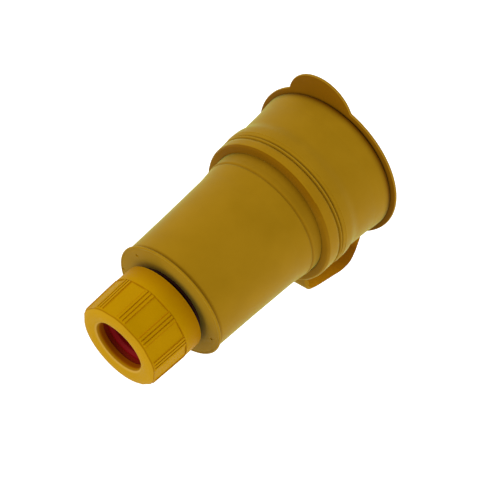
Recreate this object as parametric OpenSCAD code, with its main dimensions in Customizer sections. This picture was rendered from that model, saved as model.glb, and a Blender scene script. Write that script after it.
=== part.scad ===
// Watertight locking cord connector, female, standing on its closed lid.
// The axis is Z and the lid's front face is at Z = 0. The cord nut points up.
// The lid's pull tab points to +Y, and its strap and hinge are on the -Y side.

/* [Overall] */
// Length of the whole connector, from the closed lid's front face to the nut's outer face
total_len = 100; // [96:0.5:112]

/* [Lid] */
// Radius of the lid's disc
lid_r = 28.3; // [27.8:0.1:30]
// Thickness of the disc in its middle
lid_t = 2.5; // [2.2:0.1:3]
// Thickness of the disc's rim and of the tab
lid_rim_t = 1.3; // [1.2:0.1:1.8]
// Radius of the flat in the middle of the disc's front face
lid_flat_r = 20; // [12:0.5:24]
// Rounding of the disc's edges
lid_edge = 0.4; // [0.2:0.1:0.5]
// Radius of the pull tab's round lobe
tab_lobe_r = 12.8; // [11:0.1:14]
// Reach of the pull tab from the axis
tab_reach = 34.8; // [33:0.1:38]
// Radius of the hollow corner between the disc and the tab
tab_corner = 1; // [1:0.5:4]
// Depth of the lid's sealing skirt inside the mouth
skirt_h = 5.2; // [4:0.1:5.2]
// Wall of the sealing skirt
skirt_wall = 1.8; // [1.4:0.1:2]
// Gap between the skirt and the mouth, which lets the skirt swing out
skirt_gap = 0.7; // [0.6:0.05:1]
// Height of the bead round the skirt
skirt_bead = 0.35; // [0.1:0.05:0.35]
// Gap between the closed lid and the boot's front edge
lid_gap = 0.6; // [0.4:0.1:1]

/* [Lid strap] */
// Width of the strap across the hinge
strap_w = 24.4; // [18:0.2:26]
// Thickness of the strap
strap_t = 1.2; // [1:0.1:1.6]
// Distance of the hinge line from the axis
hinge_reach = 27.2; // [27:0.1:28]
// Clearance round the strap's rounded hinge end
hinge_gap = 0.25; // [0.15:0.05:0.35]
// Distance of the strap's front knee from the axis
knee_reach = 36.9; // [35:0.1:38]
// Height of the front knee above the lid's front face
knee_z = 9; // [8:0.1:11]
// Distance of the strap's rear knee from the axis
heel_reach = 29.9; // [29:0.1:30.5]
// Height of the strap's root above the collar's front edge
strap_seat = 2.6; // [1.5:0.1:3.2]
// Bend radius of the front knee
knee_bend = 8.5; // [4:0.5:9]
// Bend radius of the rear knee
heel_bend = 7; // [2:0.5:7]
// Outer radius of the collar that holds the strap
collar_r = 25.5; // [25:0.1:26]
// Width of the collar along the axis
collar_w = 5; // [4.5:0.1:5.6]
// Rounding of the collar's rear edge
collar_edge = 1.2; // [0.5:0.1:1.5]
// Depth of the collar's holding rib in the boot
collar_rib = 0.8; // [0.4:0.1:1]
// Play of the collar along the axis in its groove
collar_play = 0.2; // [0.1:0.05:0.3]

/* [Boot] */
// Inside radius of the boot's mouth
mouth_r = 23.2; // [23:0.1:23.6]
// Length of the mouth's sealing land
land_len = 5; // [4.8:0.1:5]
// Step inwards behind the mouth's sealing land
land_step = 0.3; // [0.1:0.1:0.5]
// Depth of the mouth down to the housing's front rim
mouth_depth = 16.3; // [15:0.1:17]
// Outside radius of the front edge
front_r = 26.6; // [26:0.1:27.4]
// Rounding of the front edge
front_edge = 0.5; // [0.3:0.1:0.7]
// Outside radius of the barrel, a third of the way back
barrel_r = 25.7; // [25.3:0.1:26]
// Outside radius of the barrel at its rear end
barrel_end_r = 25.1; // [24.8:0.1:25.3]
// Distance from the front edge to the barrel's rear end
barrel_len = 15.8; // [15:0.1:16.5]
// Outside radius of the raised band behind the barrel
band_r = 25.9; // [25.6:0.1:26.4]
// Width of the raised band with its ramp
band_w = 6.5; // [6:0.1:7]
// Height of the raised band's middle over its edges
band_crown = 0.15; // [0.05:0.05:0.3]
// Radius of the thin ridge's round section
ridge_bead = 0.6; // [0.4:0.05:0.7]
// Outside radius at the foot of the thin ridge
ridge_foot_r = 25.1; // [24.8:0.1:25.3]
// Outside radius of the neck under and behind the collar
neck_r = 22.4; // [22:0.1:22.8]
// Length of the neck behind the collar
neck_len = 4.4; // [3.5:0.1:5]
// Depth of the crease behind the neck
crease = 0.5; // [0.2:0.1:0.7]
// Outside radius of the cone at the crease
cone_front_r = 21.6; // [21.2:0.1:21.9]
// Outside radius of the cone where it becomes steady
cone_mid_r = 21.1; // [20.8:0.1:21.4]
// Distance from the crease to where the cone becomes steady
cone_settle = 4; // [3:0.5:5]
// Outside radius of the cone at its rear end
cone_rear_r = 19.5; // [19.2:0.1:19.8]
// Outside radius of the rear rim
rim_r = 20.1; // [19.9:0.1:20.6]
// Width of the rear rim along the axis
rim_w = 2.1; // [1.6:0.1:3]
// Length of the ramp in front of the rear rim
rim_ramp = 0.8; // [0.4:0.1:1]
// Rounding of the rear rim's edge
rim_bend = 0.4; // [0.2:0.1:0.6]
// Depth of the groove in front of the rear rim
rim_groove = 0.25; // [0.1:0.05:0.4]
// Width of the groove in front of the rear rim
rim_groove_w = 0.6; // [0.4:0.1:1]
// Thickness of the boot's rear wall
rear_wall = 4.1; // [3:0.1:5]

/* [Core housing] */
// Reach of the housing's front rim past the mouth's radius, by which the boot grips it
rim_grip = 0.4; // [0.2:0.1:0.6]
// Thickness of the housing's front rim
rim_t = 3; // [2.5:0.1:3.5]
// Outside radius of the housing's front barrel
core_r = 20; // [19.7:0.1:20.4]
// Wall of the housing's front barrel
core_wall = 2.7; // [2.6:0.05:2.8]
// Outside radius of the housing's cone at its front
core_cone_r = 19; // [18.8:0.1:19.2]
// Outside radius of the housing at its rear shoulder
core_rear_r = 17; // [16.7:0.1:17.3]
// Inside radius of the wire chamber
chamber_r = 15; // [14.6:0.1:15.2]
// Depth of the carrier's seat, from the housing's front rim
seat_depth = 23.6; // [23:0.1:24]
// Thickness of the housing's shoulder round the tail's bore
shoulder_t = 2; // [1.5:0.1:3]
// Length of the funnel between the wire chamber and the tail's bore
funnel_len = 4; // [3:0.5:5]
// Outside radius of the threaded tail
tail_r = 12; // [11.8:0.1:12.3]
// Radius of the tail at the root of its thread
thread_root_r = 11.4; // [11.2:0.1:11.6]
// Length of the full thread at the tail's end, on which the nut rides
thread_land = 5; // [4:0.1:6]
// Reach of the tail past the boot's rear face
tail_len = 14.1; // [13.5:0.1:14.5]
// Inside radius of the tail
tail_bore_r = 9.5; // [9:0.1:9.7]
// Height of the sealing ring on the tail
seal_h = 0.8; // [0.5:0.1:1]
// Thickness of the sealing ring on the tail
seal_t = 0.7; // [0.5:0.1:0.8]
// Length of the tail's seat for the grommet
grommet_seat = 6.9; // [6:0.1:8]
// Radius of the bosses for the assembly screws
boss_r = 3.2; // [2.8:0.1:3.4]
// Length of the bosses
boss_len = 9; // [8:0.5:12]
// Gap between the carrier and the bosses
boss_gap = 0.4; // [0.2:0.1:0.8]
// Wall of the bosses past the assembly screws' holes
boss_floor = 0.8; // [0.6:0.1:1.2]

/* [Contact face] */
// Radius of the raised contact face
face_r = 19.9; // [19.5:0.1:20]
// Rounding of the contact face's edge
face_edge = 0.8; // [0.4:0.1:1]
// Depth of the contact face below the boot's front edge
face_depth = 5.4; // [5.3:0.1:6.4]
// Thickness of the face over the contact pockets
face_wall = 3.5; // [3:0.1:4]
// Radius of the circle of slots
slot_circle_r = 12.3; // [12.2:0.05:12.4]
// Width of a slot
slot_w = 2.2; // [2:0.1:2.4]
// Angle that a slot spans
slot_arc = 60; // [54:1:62]
// Length of the ground slot's inward hook
hook_len = 2.6; // [2:0.1:3]
// Angle of the hook from the ground slot's end
hook_turn = 5; // [5:0.5:8]
// Radial play between the face, the carrier and the housing
seat_play = 0.1; // [0.05:0.05:0.2]
// Play round the contacts in their pockets
pocket_play = 0.25; // [0.15:0.05:0.35]
// Angle by which a pocket is longer than its slot at each end
pocket_spare = 1; // [0.5:0.5:1.5]
// Play round a terminal's tang in its slit
tang_play = 0.15; // [0.05:0.05:0.25]
// Thickness of the face gasket
gasket_t = 1; // [0.8:0.1:1.2]
// Gap between the face gasket and the face's spigot
gasket_gap = 1.5; // [1:0.1:2]
// Thickness of the face's flange on the gasket
flange_t = 2.2; // [2:0.1:2.4]
// Depth of the spigot behind the flange
spigot_t = 3.6; // [3.4:0.1:3.8]

/* [Contacts] */
// Thickness of the contact strip
strip_t = 0.8; // [0.6:0.1:0.9]
// Gap between a contact's two leaves
jaw_gap = 2; // [1.8:0.1:2.2]
// Angle that a contact's leaves span
jaw_arc = 52; // [44:1:54]
// Depth to which the contacts' webs sit in the carrier
jaw_seat = 1.6; // [1.2:0.1:2]
// Thickness of the carrier's floor over the contacts' webs
carrier_floor = 2; // [1.5:0.1:2.5]
// Distance of the terminal plates' ends from the carrier's rear end
terminal_setback = 2.4; // [2:0.1:3]
// Thickness of a terminal plate
terminal_t = 1.2; // [1:0.1:1.3]
// Width of a terminal plate
terminal_w = 7.6; // [7:0.1:8]
// Width of a clamp plate
clamp_w = 8.4; // [7.6:0.1:8.8]
// Width of the bay round a terminal
bay_w = 12.6; // [10:0.2:13.4]
// Length of a clamp plate
clamp_l = 10.6; // [9:0.1:11]
// Height and thickness of a clamp plate's turned-up lip
clamp_lip = 1; // [0.8:0.1:1.2]
// Distance of the clamp plates' ends from the terminal plates' ends
clamp_setback = 0.4; // [0.2:0.1:0.6]
// Radius of a terminal screw's shank
term_screw_r = 1.75; // [1.5:0.05:1.9]
// Depth to which the terminal screws reach into the carrier
term_bite = 4.6; // [4:0.1:5]
// Radius of a terminal screw's head
term_head_r = 3.1; // [2.8:0.1:3.4]
// Height of a terminal screw's head
term_head_h = 2; // [1.6:0.1:2.2]
// Radius of an assembly screw's shank
long_screw_r = 1.5; // [1.3:0.05:1.6]
// Radius of an assembly screw's head
long_head_r = 2.7; // [2.4:0.1:2.8]
// Height of an assembly screw's head
long_head_h = 2.2; // [1.8:0.1:2.2]
// Depth of the assembly screws' seats below the contact face
head_depth = 3.7; // [3:0.1:4.5]
// Play round the screws' shanks in their holes
screw_play = 0.1; // [0.05:0.05:0.2]
// Play round the screws' shanks where they are threaded in
tap_play = 0.03; // [0.02:0.01:0.05]
// Depth of the screws' holes past their tips
hole_spare = 0.5; // [0.3:0.1:0.6]
// Width of the screws' driver slots
driver_slot = 0.8; // [0.6:0.1:1]
// Distance of the assembly screws from the axis
long_circle_r = 14.2; // [14:0.1:14.3]

/* [Gland] */
// Outside radius of the grommet
grommet_r = 10.3; // [10:0.1:10.5]
// Inside radius of the grommet
grommet_bore_r = 7; // [5:0.1:8]
// Chamfer of the grommet's outer edge
grommet_edge = 0.6; // [0.4:0.1:0.8]
// Chamfer of the grommet's bore
grommet_mouth = 0.8; // [0.4:0.1:1]
// Thickness of the slip ring
slip_t = 1.6; // [1.2:0.1:1.8]
// Inside radius of the slip ring
slip_bore_r = 8.9; // [8.7:0.1:9.4]
// Radial play of the slip ring in the nut, apart from the thread's play
slip_play = 0.25; // [0.15:0.05:0.4]

/* [Nut] */
// Height of the nut
nut_h = 20.35; // [19.5:0.05:22]
// Gap between the nut and the boot's rear face
nut_gap = 2.35; // [2.3:0.05:3]
// Outside radius of the nut's plain collar
nut_r = 15.1; // [14.8:0.1:15.6]
// Outside radius of the nut at its outer end
nut_end_r = 14.55; // [14.2:0.05:14.8]
// Height of the plain collar
nut_collar_h = 6.45; // [5:0.05:8]
// Radius of the cord's hole in the nut
nut_bore_r = 8.6; // [8:0.1:8.7]
// Thickness of the nut's lip round the cord's hole
nut_lip = 3.4; // [2.8:0.1:5]
// Rounding of the nut's outer edge
nut_edge = 1.5; // [0.8:0.1:2]
// Chamfer of the plain collar's edge next to the boot
nut_chamfer = 0.5; // [0.3:0.1:0.7]
// Length of the small step between the plain collar and the flats
grip_step = 0.3; // [0.2:0.1:0.5]
// Number of flats round the nut
flat_count = 10; // [8:1:12]
// Angle that each flat spans
flat_arc = 23; // [18:1:25]
// Number of fine ribs in each group between two flats
rib_count = 3; // [2:1:3]
// Angle between two fine ribs
rib_step = 5; // [4:0.5:5]
// Angle that a fine rib spans
rib_arc = 2; // [1:0.5:2.5]
// Height of a fine rib
rib_h = 0.25; // [0.1:0.05:0.4]
// Length of the ramps at a fine rib's ends
rib_ramp = 0.4; // [0.2:0.1:0.6]
// Distance of a fine rib's outer end from the end of the flats
rib_setback = 0.9; // [0.5:0.1:1.5]
// Azimuth of the first group of ribs
rib_turn = 38; // [0:1:45]
// Radial play between the nut's thread and the tail
thread_play = 0.06; // [0.02:0.01:0.1]
// Depth of the plain mouth in front of the nut's thread
nut_mouth_h = 4.4; // [4:0.1:5]
// Wall of the nut at its plain mouth
nut_mouth_wall = 2.1; // [1.8:0.1:2.4]

/* [Hidden] */

boot_yellow = "#B49127";
lid_yellow = "#A98319";
nut_yellow = "#D8A40C";
nylon_black = "#2B2B2D";
nylon_grey = "#8C8F92";
seal_black = "#1E1E1E";
grommet_red = "#6E1410";
brass_tone = "#C8A24A";
steel_tone = "#B8BCC0";

// Azimuths of the three contacts and of the screws between them
ground_az = 90;
neutral_az = 210;
hot_az = 330;
contact_azimuths = [ground_az, neutral_az, hot_az];
screw_azimuths = [for (a = contact_azimuths) a - 60];

// Heights, worked out from the lid's front face upwards
lid_rim_z = lid_t - lid_rim_t;
hinge_z = lid_t - lid_rim_t / 2;
front_z = lid_t + lid_gap;
rim_z = front_z + mouth_depth;
face_z = front_z + face_depth;
barrel_z = front_z + barrel_len;
ridge_z = barrel_z + band_w + ridge_bead * 2;
collar_z = ridge_z + ridge_bead * 1.5;
collar_end_z = collar_z + collar_w + collar_play;
crease_z = collar_end_z + neck_len;
nut_end_z = total_len;
nut_z = nut_end_z - nut_h;
rear_z = nut_z - nut_gap;
shoulder_z = rear_z - rear_wall;
tail_end_z = rear_z + tail_len;
seat_end_z = rim_z + seat_depth;
flange_z = rim_z - gasket_t - flange_t;
spigot_end_z = rim_z - gasket_t + spigot_t;
pocket_z = face_z + face_wall;
lip_z = nut_end_z - nut_lip;
slip_z = lip_z - slip_t;
grommet_z = tail_end_z - grommet_seat;
thread_z = nut_z + nut_mouth_h;
seal_z = rear_z;
land_z = tail_end_z - thread_land;

well_r = mouth_r - land_step;
flange_r = well_r - 3 * seat_play;
skirt_r = mouth_r - skirt_gap;
seat_r = core_r - core_wall;
jaw_in_r = slot_circle_r - jaw_gap / 2;
jaw_out_r = slot_circle_r + jaw_gap / 2;
terminal_in_r = slot_circle_r - terminal_t * 0.75;
clamp_in_r = terminal_in_r + terminal_t;
head_in_r = clamp_in_r + terminal_t;
jaw_end_z = spigot_end_z + jaw_seat;
terminal_end_z = seat_end_z - terminal_setback;
term_screw_z = terminal_end_z - clamp_l / 2 - clamp_setback;
hole_end_z = seat_end_z + boss_gap + boss_len - boss_floor;
thread_depth = tail_r - thread_root_r;

// Small overlap that joins two solids, and how far a cutter reaches past what it cuts
eps = 0.01;
past = 1;
$fn = 96;

function unit(v) = v / norm(v);
function turn(v) = [-v[1], v[0]];

// Points of the arc that rounds corner b between points a and c
function fillet(a, b, c, r, steps = 10) =
    let (
        u = unit(a - b),
        v = unit(c - b),
        half = acos(u * v) / 2,
        centre = b + unit(u + v) * r / sin(half),
        p = b + u * r / tan(half) - centre,
        q = b + v * r / tan(half) - centre,
        first = atan2(p[1], p[0]),
        sweep = ((atan2(q[1], q[0]) - first + 540) % 360) - 180
    )
    [for (i = [0:steps]) centre + r * [cos(first + sweep * i / steps), sin(first + sweep * i / steps)]];

// Outline of a band of thickness t along a path of points
function band_outline(path, t) =
    let (
        last = len(path) - 1,
        sides = [for (i = [0:last]) turn(unit(path[min(i + 1, last)] - path[max(i - 1, 0)])) * t / 2]
    )
    concat([for (i = [0:last]) path[i] + sides[i]], [for (i = [last:-1:0]) path[i] - sides[i]]);

module ring(outer, inner, z, h) {
    translate([0, 0, z])
        difference() {
            cylinder(r = outer, h = h);
            translate([0, 0, -past])
                cylinder(r = inner, h = h + 2 * past);
        }
}

// Part of a ring, centred on the azimuth az
module arc_block(inner, outer, az, span, z, h) {
    translate([0, 0, z])
        rotate([0, 0, az - span / 2])
            rotate_extrude(angle = span)
                translate([inner, 0])
                    square([outer - inner, h]);
}

// A disc whose edges are round
module round_disc(r, t, edge) {
    rotate_extrude() {
        square([r - edge, t]);
        translate([0, edge])
            square([r, t - 2 * edge]);
        for (z = [edge, t - edge])
            translate([r - edge, z])
                circle(r = edge, $fn = 32);
    }
}

// Profile of the housing's outside, up to its rear shoulder
function core_outline() = [
    [mouth_r + rim_grip, rim_z],
    [mouth_r + rim_grip, rim_z + rim_t],
    [core_r, rim_z + rim_t],
    [core_r, collar_end_z + neck_len * 0.7],
    [core_cone_r, crease_z + cone_settle],
    [core_rear_r, shoulder_z]
];

module boot() {
    rib_z = collar_z + collar_w * 0.25;
    color(boot_yellow)
        rotate_extrude()
            union() {
                polygon(concat([
                    [mouth_r, front_z],
                    [front_r - front_edge, front_z],
                    [front_r, front_z + front_edge],
                    [barrel_r, front_z + barrel_len * 0.4],
                    [barrel_end_r, barrel_z],
                    [band_r - band_crown, barrel_z + band_w * 0.35],
                    [band_r, barrel_z + band_w * 0.65],
                    [band_r - band_crown, barrel_z + band_w * 0.9],
                    [ridge_foot_r, barrel_z + band_w],
                    [ridge_foot_r, collar_z],
                    [neck_r, collar_z],
                    [neck_r, rib_z],
                    [neck_r - collar_rib, rib_z],
                    [neck_r - collar_rib, rib_z + collar_w / 2],
                    [neck_r, rib_z + collar_w / 2],
                    [neck_r, collar_end_z],
                    [neck_r - crease / 5, crease_z - crease],
                    [cone_front_r - crease / 2, crease_z],
                    [cone_front_r, crease_z + crease],
                    [cone_mid_r, crease_z + cone_settle],
                    [cone_rear_r, rear_z - rim_w - rim_groove_w],
                    [cone_rear_r - rim_groove, rear_z - rim_w - rim_groove_w / 2],
                    [cone_rear_r, rear_z - rim_w],
                    [rim_r, rear_z - rim_w + rim_ramp],
                    [rim_r, rear_z - rim_bend],
                    [rim_r - rim_bend, rear_z - rim_bend],
                    [rim_r - rim_bend, rear_z],
                    [tail_r, rear_z],
                    [tail_r, shoulder_z]],
                    [for (i = [5:-1:0]) core_outline()[i]],
                    [[well_r, rim_z],
                    [well_r, front_z + land_len + land_step],
                    [mouth_r, front_z + land_len]]));
                translate([ridge_foot_r, ridge_z])
                    circle(r = ridge_bead, $fn = 32);
                translate([rim_r - rim_bend, rear_z - rim_bend])
                    circle(r = rim_bend, $fn = 48);
            }
}

// The disc is flat in the middle and thins to its rim
module lid_disc() {
    rotate_extrude() {
        polygon([
            [0, 0],
            [lid_flat_r, 0],
            [lid_r - lid_edge, lid_rim_z],
            [lid_r - lid_edge, lid_t],
            [0, lid_t]]);
        translate([0, lid_rim_z + lid_edge])
            square([lid_r, lid_rim_t - 2 * lid_edge]);
        for (z = [lid_rim_z + lid_edge, lid_t - lid_edge])
            translate([lid_r - lid_edge, z])
                circle(r = lid_edge, $fn = 32);
    }
}

// The lid's outline is its disc, the pull tab's lobe and the hinge's land
module lid() {
    color(lid_yellow)
        difference() {
            union() {
                lid_disc();
                translate([0, tab_reach - tab_lobe_r, lid_rim_z])
                    round_disc(tab_lobe_r, lid_rim_t, lid_edge);
                translate([0, 0, lid_rim_z])
                    for (side = [-1, 1])
                        tab_web(side);
                translate([-strap_w / 2, -hinge_reach, lid_rim_z])
                    cube([strap_w, hinge_reach / 2, lid_rim_t]);
                ring(skirt_r, skirt_r - skirt_wall, lid_t - eps, skirt_h + eps);
                rotate_extrude()
                    translate([skirt_r - skirt_bead, lid_t + skirt_h * 0.33])
                        circle(r = skirt_bead * 2, $fn = 32);
            }
            hinge_slot();
        }
}

// Web that fills the corner between the disc and the tab, with the same round edges
module tab_web(side) {
    lobe_y = tab_reach - tab_lobe_r;
    far = lid_r + tab_corner;
    y = (far * far - pow(tab_lobe_r + tab_corner, 2) + lobe_y * lobe_y) / (2 * lobe_y);
    x = side * sqrt(far * far - y * y);
    corner = tab_corner + 3 * eps;
    difference() {
        linear_extrude(lid_rim_t)
            polygon([[x, y], [0, 0], [0, lobe_y]]);
        translate([x, y, 0])
            rotate_extrude()
                difference() {
                    translate([0, -past])
                        square([corner + lid_edge, lid_rim_t + 2 * past]);
                    translate([corner, lid_edge])
                        square([lid_edge + past, lid_rim_t - 2 * lid_edge]);
                    for (z = [lid_edge, lid_rim_t - lid_edge])
                        translate([corner + lid_edge, z])
                            circle(r = lid_edge, $fn = 32);
                }
    }
}

// Room for the strap's rounded end in the lid's edge
module hinge_slot() {
    slot_x = strap_w / 2 + hinge_gap;
    seat = strap_t / 2 + hinge_gap;
    translate([-slot_x, -hinge_reach, hinge_z])
        rotate([90, 0, 90])
            linear_extrude(2 * slot_x) {
                circle(r = seat, $fn = 48);
                translate([-lid_r, -2 * lid_t])
                    square([lid_r, 4 * lid_t]);
                polygon([
                    [0, -seat / 2],
                    [seat, -seat / 2],
                    [seat + lid_t, -seat / 2 - lid_t],
                    [0, -seat / 2 - lid_t]]);
            }
}

// Centre line of the strap, as [distance from the axis, height]
function strap_path() =
    let (
        hinge = [hinge_reach, hinge_z],
        knee = [knee_reach, knee_z],
        rear = collar_z + strap_seat,
        heel = [heel_reach, rear],
        root = [neck_r + collar_rib, rear]
    )
    concat([hinge], fillet(hinge, knee, heel, knee_bend), fillet(knee, heel, root, heel_bend), [root]);

module lid_collar() {
    rib_z = collar_z + collar_w * 0.25;
    color(lid_yellow)
        difference() {
            union() {
                translate([0, 0, collar_z])
                    rotate_extrude() {
                        square([collar_r - collar_edge, collar_w]);
                        square([collar_r, collar_w - collar_edge]);
                        translate([collar_r - collar_edge, collar_w - collar_edge])
                            circle(r = collar_edge, $fn = 48);
                    }
                translate([strap_w / 2, 0, 0])
                    rotate([90, 0, -90])
                        linear_extrude(strap_w)
                            polygon(band_outline(strap_path(), strap_t));
                translate([-strap_w / 2, -hinge_reach, hinge_z])
                    rotate([0, 90, 0])
                        cylinder(r = strap_t / 2, h = strap_w, $fn = 48);
            }
            translate([0, 0, collar_z - past])
                cylinder(r = neck_r, h = collar_w + 2 * past);
        }
    color(lid_yellow)
        difference() {
            translate([0, 0, rib_z])
                cylinder(r = neck_r + collar_rib, h = collar_w / 2);
            translate([0, 0, rib_z - past])
                cylinder(r = neck_r - collar_rib, h = collar_w / 2 + 2 * past);
        }
}

// A slot for a locking blade; the ground slot has an inward hook
module blade_slot(az) {
    slot_h = face_wall + 2 * past;
    arc_block(slot_circle_r - slot_w / 2, slot_circle_r + slot_w / 2, az, slot_arc, face_z - past, slot_h);
    if (az == ground_az)
        rotate([0, 0, az - slot_arc / 2 + hook_turn])
            translate([slot_circle_r - slot_w / 2 - hook_len, -slot_w / 2, face_z - past])
                cube([hook_len + slot_w / 2, slot_w, slot_h]);
}

module socket_face() {
    color(nylon_black)
        difference() {
            union() {
                translate([0, 0, face_z])
                    rotate_extrude() {
                        square([face_r - face_edge, flange_z - face_z]);
                        translate([0, face_edge])
                            square([face_r, flange_z - face_z - face_edge]);
                        translate([face_r - face_edge, face_edge])
                            circle(r = face_edge, $fn = 32);
                    }
                translate([0, 0, flange_z])
                    cylinder(r = flange_r, h = flange_t);
                translate([0, 0, flange_z])
                    cylinder(r = seat_r - seat_play, h = spigot_end_z - flange_z);
            }
            for (az = contact_azimuths) {
                blade_slot(az);
                arc_block(jaw_in_r - strip_t - pocket_play, jaw_out_r + strip_t + pocket_play, az,
                    slot_arc + 2 * pocket_spare, pocket_z, spigot_end_z - pocket_z + past);
            }
            for (az = screw_azimuths)
                rotate([0, 0, az])
                    translate([long_circle_r, 0, face_z - past]) {
                        cylinder(r = long_head_r + screw_play, h = head_depth + past);
                        cylinder(r = long_screw_r + screw_play, h = spigot_end_z - face_z + 2 * past);
                    }
        }
}

module face_gasket() {
    color(seal_black)
        ring(flange_r, seat_r - seat_play + gasket_gap, rim_z - gasket_t, gasket_t);
}

// A solid block with a bay for each terminal, a slit for its tang and a hole for each long screw
module contact_carrier() {
    color(nylon_grey)
        difference() {
            translate([0, 0, spigot_end_z])
                cylinder(r = seat_r - seat_play, h = seat_end_z - spigot_end_z);
            for (az = contact_azimuths) {
                arc_block(jaw_in_r - strip_t - pocket_play, jaw_out_r + strip_t + pocket_play, az,
                    jaw_arc + 4 * pocket_spare, spigot_end_z - past, jaw_end_z - spigot_end_z + past);
                rotate([0, 0, az]) {
                    translate([terminal_in_r - tang_play, -terminal_w / 2 - tang_play, jaw_end_z - past])
                        cube([
                            terminal_t + 2 * tang_play,
                            terminal_w + 2 * tang_play,
                            carrier_floor + 2 * past]);
                    translate([terminal_in_r, -bay_w / 2, jaw_end_z + carrier_floor])
                        cube([seat_r, bay_w, seat_depth]);
                    translate([terminal_in_r - term_bite - hole_spare, 0, term_screw_z])
                        rotate([0, 90, 0])
                            cylinder(r = term_screw_r + screw_play, h = terminal_in_r, $fn = 48);
                }
            }
            for (az = screw_azimuths)
                rotate([0, 0, az])
                    translate([long_circle_r, 0, spigot_end_z - past])
                        cylinder(r = long_screw_r + screw_play, h = seat_end_z, $fn = 48);
        }
}

// A contact: two curved leaves, their web, and the tang that becomes the terminal plate
module contact(az) {
    jaw_z = pocket_z + pocket_play;
    color(brass_tone)
        difference() {
            union() {
                rotate([0, 0, az - jaw_arc / 2])
                    rotate_extrude(angle = jaw_arc)
                        polygon([
                            [jaw_in_r - strip_t, jaw_z],
                            [jaw_in_r, jaw_z],
                            [jaw_in_r, jaw_end_z - strip_t],
                            [jaw_out_r, jaw_end_z - strip_t],
                            [jaw_out_r, jaw_z],
                            [jaw_out_r + strip_t, jaw_z],
                            [jaw_out_r + strip_t, jaw_end_z],
                            [jaw_in_r - strip_t, jaw_end_z]]);
                rotate([0, 0, az])
                    translate([terminal_in_r, -terminal_w / 2, jaw_end_z - strip_t / 2])
                        cube([terminal_t, terminal_w, terminal_end_z - jaw_end_z + strip_t / 2]);
            }
            rotate([0, 0, az])
                translate([0, 0, term_screw_z])
                    rotate([0, 90, 0])
                        cylinder(r = term_screw_r + tap_play, h = core_r, $fn = 48);
        }
}

module hot_contact() {
    contact(hot_az);
}

module neutral_contact() {
    contact(neutral_az);
}

module ground_contact() {
    contact(ground_az);
}

// A wire clamp plate with a turned-up lip at its rear end
module clamp_plate(az) {
    color(steel_tone)
        rotate([0, 0, az])
            difference() {
                union() {
                    translate([clamp_in_r, -clamp_w / 2, term_screw_z - clamp_l / 2])
                        cube([terminal_t, clamp_w, clamp_l]);
                    translate([clamp_in_r, -clamp_w / 2, term_screw_z + clamp_l / 2 - clamp_lip])
                        cube([terminal_t + clamp_lip, clamp_w, clamp_lip]);
                }
                translate([0, 0, term_screw_z])
                    rotate([0, 90, 0])
                        cylinder(r = term_screw_r + screw_play, h = core_r, $fn = 48);
            }
}

module hot_clamp_plate() {
    clamp_plate(hot_az);
}

module neutral_clamp_plate() {
    clamp_plate(neutral_az);
}

module ground_clamp_plate() {
    clamp_plate(ground_az);
}

// A screw along Z with a cheese head that starts at z = 0 and a shank below it
module slotted_screw(head_r, head_h, shank_r, shank_l) {
    difference() {
        union() {
            cylinder(r = head_r, h = head_h, $fn = 48);
            translate([0, 0, -shank_l])
                cylinder(r = shank_r, h = shank_l + eps, $fn = 48);
        }
        translate([-head_r - past, -driver_slot / 2, head_h / 2])
            cube([2 * head_r + 2 * past, driver_slot, head_h]);
    }
}

module terminal_screws() {
    color(steel_tone)
        for (az = contact_azimuths)
            rotate([0, 0, az])
                translate([head_in_r, 0, term_screw_z])
                    rotate([0, 90, 0])
                        slotted_screw(term_head_r, term_head_h, term_screw_r,
                            head_in_r - terminal_in_r + term_bite);
}

module assembly_screws() {
    head_z = face_z + head_depth;
    color(steel_tone)
        for (az = screw_azimuths)
            rotate([0, 0, az])
                translate([long_circle_r, 0, head_z])
                    rotate([180, 0, 0])
                        slotted_screw(long_head_r, long_head_h, long_screw_r,
                            hole_end_z - hole_spare - head_z);
}

module core_housing() {
    color(nylon_black)
        difference() {
            union() {
                rotate_extrude()
                    polygon(concat(core_outline(), [
                        [tail_r, shoulder_z],
                        [tail_r, seal_z + seal_h],
                        [thread_root_r, seal_z + seal_h],
                        [thread_root_r, land_z - thread_depth],
                        [tail_r, land_z],
                        [tail_r, tail_end_z - thread_depth],
                        [thread_root_r, tail_end_z],
                        [grommet_r + seat_play, tail_end_z],
                        [grommet_r + seat_play, grommet_z],
                        [tail_bore_r, grommet_z],
                        [tail_bore_r, shoulder_z - shoulder_t],
                        [chamber_r, shoulder_z - shoulder_t - funnel_len],
                        [chamber_r, seat_end_z],
                        [seat_r, seat_end_z],
                        [seat_r, rim_z]]));
                for (az = screw_azimuths)
                    rotate([0, 0, az])
                        translate([long_circle_r, 0, seat_end_z + boss_gap])
                            cylinder(r = boss_r, h = boss_len, $fn = 48);
            }
            for (az = screw_azimuths)
                rotate([0, 0, az])
                    translate([long_circle_r, 0, seat_end_z - past])
                        cylinder(r = long_screw_r + tap_play, h = hole_end_z - seat_end_z + past, $fn = 48);
        }
}

// Rubber ring on the tail, against the boot's rear face
module tail_seal() {
    color(seal_black)
        ring(tail_r + seal_t, tail_r, seal_z, seal_h);
}

module grommet() {
    color(grommet_red)
        rotate_extrude()
            polygon([
                [grommet_bore_r, grommet_z],
                [grommet_r, grommet_z],
                [grommet_r, slip_z - grommet_edge],
                [grommet_r - grommet_edge, slip_z],
                [grommet_bore_r + grommet_mouth, slip_z],
                [grommet_bore_r, slip_z - grommet_mouth]]);
}

module slip_ring() {
    color(nylon_grey)
        ring(tail_r - slip_play, slip_bore_r, slip_z, slip_t);
}

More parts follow.
